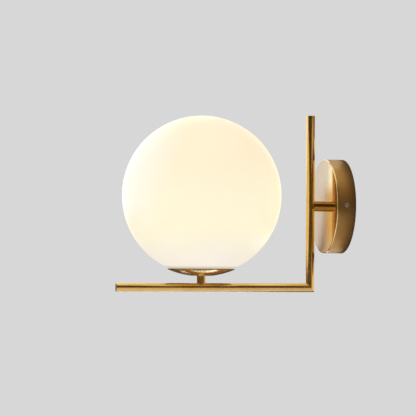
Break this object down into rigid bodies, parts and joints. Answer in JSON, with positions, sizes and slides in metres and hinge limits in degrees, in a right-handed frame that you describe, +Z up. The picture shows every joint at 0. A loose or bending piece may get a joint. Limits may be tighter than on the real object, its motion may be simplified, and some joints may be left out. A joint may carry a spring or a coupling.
{
  "type": "wall sconce",
  "caption": "Wall sconce: opal glass globe in a shallow brass dish on an L-shaped arm of round brass tube, fixed to a round canopy; the globe lifts off and the bulb unscrews.",
  "frame": {"origin": "on the wall plane, at the centre of the canopy and of the wall strap's two screw slots", "axes": "+Z up, +Y into the wall so the lamp reaches out towards -Y, X across; the lamp is symmetric about X = 0 but for its wiring"},
  "size_m": [0.1999, 0.2915, 0.225],
  "materials": {
    "brushed_brass": "satin",
    "opal_glass": "gloss",
    "bulb_plastic": "satin",
    "bulb_body_plastic": "satin",
    "bulb_board_aluminium": "satin",
    "nickel": "satin",
    "solder_tin": "satin",
    "black_insulator": "gloss",
    "zinc_steel": "satin",
    "spring_steel": "satin",
    "raw_brass": "satin",
    "tinned_copper": "satin",
    "silicone": "matte",
    "ceramic": "gloss",
    "terminal_plastic": "satin",
    "wire_brown": "satin",
    "wire_blue": "satin",
    "wire_green": "satin"
  },
  "bodies": {
    "fixture": {"canopy_cover": "brushed_brass", "canopy_stub": "brushed_brass", "upright_tube": "brushed_brass", "lower_tube": "brushed_brass", "upright_end_plug": "brushed_brass", "lower_end_plug": "brushed_brass", "stem_sleeve": "brushed_brass", "dish": "brushed_brass", "canopy_side_screws": "nickel", "screw_shell": "nickel", "wall_strap": "zinc_steel", "canopy_washer": "zinc_steel", "canopy_nut": "zinc_steel", "stem_washer": "zinc_steel", "stem_nut": "zinc_steel", "lampholder_bracket": "zinc_steel", "lampholder_screws": "zinc_steel", "terminal_screws": "zinc_steel", "terminal_fixing_screw": "zinc_steel", "earth_washer": "zinc_steel", "globe_spring": "spring_steel", "canopy_nipple": "raw_brass", "stem_nipple": "raw_brass", "contact_rivets": "raw_brass", "centre_contact": "raw_brass", "terminal_clamps": "raw_brass", "earth_screw": "raw_brass", "earth_eyelets": "tinned_copper", "seat_ring": "silicone", "lampholder_body": "ceramic", "terminal_body": "terminal_plastic", "live_wire": "wire_brown", "neutral_wire": "wire_blue", "earth_wire": "wire_green"},
    "globe": {"globe": "opal_glass"},
    "bulb_carrier": {"bulb_contact": "solder_tin"},
    "bulb": {"bulb_insulator": "black_insulator", "bulb_cap": "nickel", "bulb_housing": "bulb_body_plastic", "bulb_board": "bulb_board_aluminium", "bulb_diffuser": "bulb_plastic"}
  },
  "joints": [
    {"name": "globe_lift", "type": "slide", "parent": "fixture", "child": "globe", "axis": [0, 0, 1], "range_m": [0, 0.112]},
    {"name": "bulb_rise", "type": "slide", "parent": "fixture", "child": "bulb_carrier", "axis": [0, 0, 1], "range_m": [0, 0.01452]},
    {"name": "bulb_turn", "type": "hinge", "parent": "bulb_carrier", "child": "bulb", "pos_m": [0, -0.1835, -0.0492], "axis": [0, 0, 1], "range_deg": [0, 1441]}
  ],
  "couplings": [
    {"joint": "bulb_turn", "follows": "bulb_rise", "rad_per_m": 1731.4}
  ]
}
